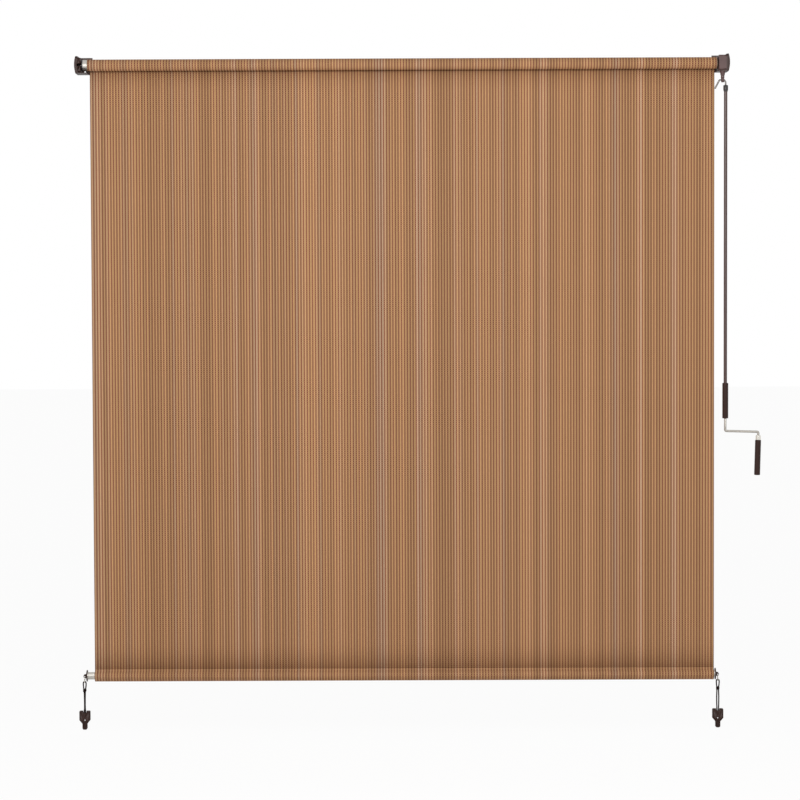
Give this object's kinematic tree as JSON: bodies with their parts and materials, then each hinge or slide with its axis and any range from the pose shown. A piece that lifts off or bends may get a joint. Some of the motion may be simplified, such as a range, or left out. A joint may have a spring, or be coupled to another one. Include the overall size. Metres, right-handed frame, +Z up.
{
  "type": "roller shade",
  "caption": "Outdoor roller shade in a striped mesh cloth, with wall brackets, a worm gear drive turned by a hanging crank, a hem bar and elastic tie-downs with cleats.",
  "frame": {"origin": "the middle of the four wall screw holes on the wall plane, level with the roller's axis", "axes": "X runs right along the roller, Y points into the wall, Z points up"},
  "size_m": [2.0095, 0.063, 1.9797],
  "materials": {
    "dark_paint": "satin",
    "dark_plastic": "satin",
    "gloss_plastic": "gloss",
    "housing_plastic": "satin",
    "aluminium": "brushed",
    "steel": "brushed",
    "chrome": "polished",
    "cloth": "woven",
    "cord": "woven",
    "nylon": "satin",
    "brass": "satin",
    "pole_paint": "satin",
    "black_plastic": "satin"
  },
  "bodies": {
    "frame": {"left_bracket": "dark_paint", "right_bracket": "dark_paint", "left_cover": "dark_plastic", "right_cover": "dark_plastic", "gear_housing": "housing_plastic", "gear_housing_lid": "housing_plastic", "worm_bush": "housing_plastic", "idler_block": "dark_plastic", "case_screws": "steel", "fabric_panel": "cloth"},
    "roller": {"head_tube": "aluminium", "fabric_spline": "nylon", "fabric_roll": "cloth", "idler_plug": "black_plastic", "idler_pin": "steel", "drive_plug": "black_plastic", "worm_wheel": "nylon"},
    "worm": {"worm_shaft": "brass", "crank_eye": "steel", "eye_pin": "steel"},
    "crank": {"crank_hook": "steel", "hook_collar": "black_plastic", "crank_pole": "pole_paint", "crank_rod": "steel", "handle_ferrule": "chrome", "upper_grip_washer": "steel", "lower_grip_washer": "steel"},
    "top_handle": {"upper_grip": "gloss_plastic"},
    "end_handle": {"lower_grip": "gloss_plastic"},
    "rail": {"bottom_tube": "aluminium", "fabric_hem": "cloth", "end_cap_left": "dark_plastic", "end_cap_right": "dark_plastic"},
    "ring_left": {"link_left": "chrome"},
    "ring_right": {"link_right": "chrome"},
    "tie_left": {"bungee_cord_left": "cord", "cleat_left": "dark_plastic"},
    "tie_right": {"bungee_cord_right": "cord", "cleat_right": "dark_plastic"}
  },
  "joints": [
    {"name": "eye_spin", "type": "hinge", "parent": "frame", "child": "worm", "pos_m": [0.934, -0.053, -0.02], "axis": [0, 0, 1], "range_deg": [0, 35640]},
    {"name": "tube_spin", "type": "hinge", "parent": "frame", "child": "roller", "pos_m": [0, -0.035, 0], "axis": [1, 0, 0], "range_deg": [0, 4455]},
    {"name": "rail_lift", "type": "slide", "parent": "frame", "child": "rail", "axis": [0, 0, 1], "range_m": [0, 1.7437], "deforming": ["fabric_panel"]},
    {"name": "crank_swing", "type": "hinge", "parent": "worm", "child": "crank", "pos_m": [0.934, -0.053, -0.0503], "axis": [1, 0, 0], "range_deg": [-75, 2]},
    {"name": "upper_grip_spin", "type": "hinge", "parent": "crank", "child": "top_handle", "pos_m": [0.943, -0.053, -0.985], "axis": [0, 0, 1], "continuous": true},
    {"name": "lower_grip_spin", "type": "hinge", "parent": "crank", "child": "end_handle", "pos_m": [1.04, -0.053, -1.07771], "axis": [0.0279, 0, 0.9996], "continuous": true},
    {"name": "link_swing_left", "type": "hinge", "parent": "rail", "child": "ring_left", "pos_m": [-0.9454, -0.01762, -1.798], "axis": [0, 1, 0], "range_deg": [-3, 60]},
    {"name": "link_swing_right", "type": "hinge", "parent": "rail", "child": "ring_right", "pos_m": [0.9264, -0.01762, -1.798], "axis": [0, 1, 0], "range_deg": [-60, 3]},
    {"name": "tie_swing_left", "type": "hinge", "parent": "ring_left", "child": "tie_left", "pos_m": [-0.9454, -0.01762, -1.812], "axis": [1, 0, 0], "range_deg": [-80, 4]},
    {"name": "tie_swing_right", "type": "hinge", "parent": "ring_right", "child": "tie_right", "pos_m": [0.9264, -0.01762, -1.812], "axis": [1, 0, 0], "range_deg": [-80, 4]}
  ],
  "couplings": [
    {"joint": "eye_spin", "follows": "rail_lift", "rad_per_m": 356.73},
    {"joint": "tube_spin", "follows": "rail_lift", "rad_per_m": 44.592}
  ]
}
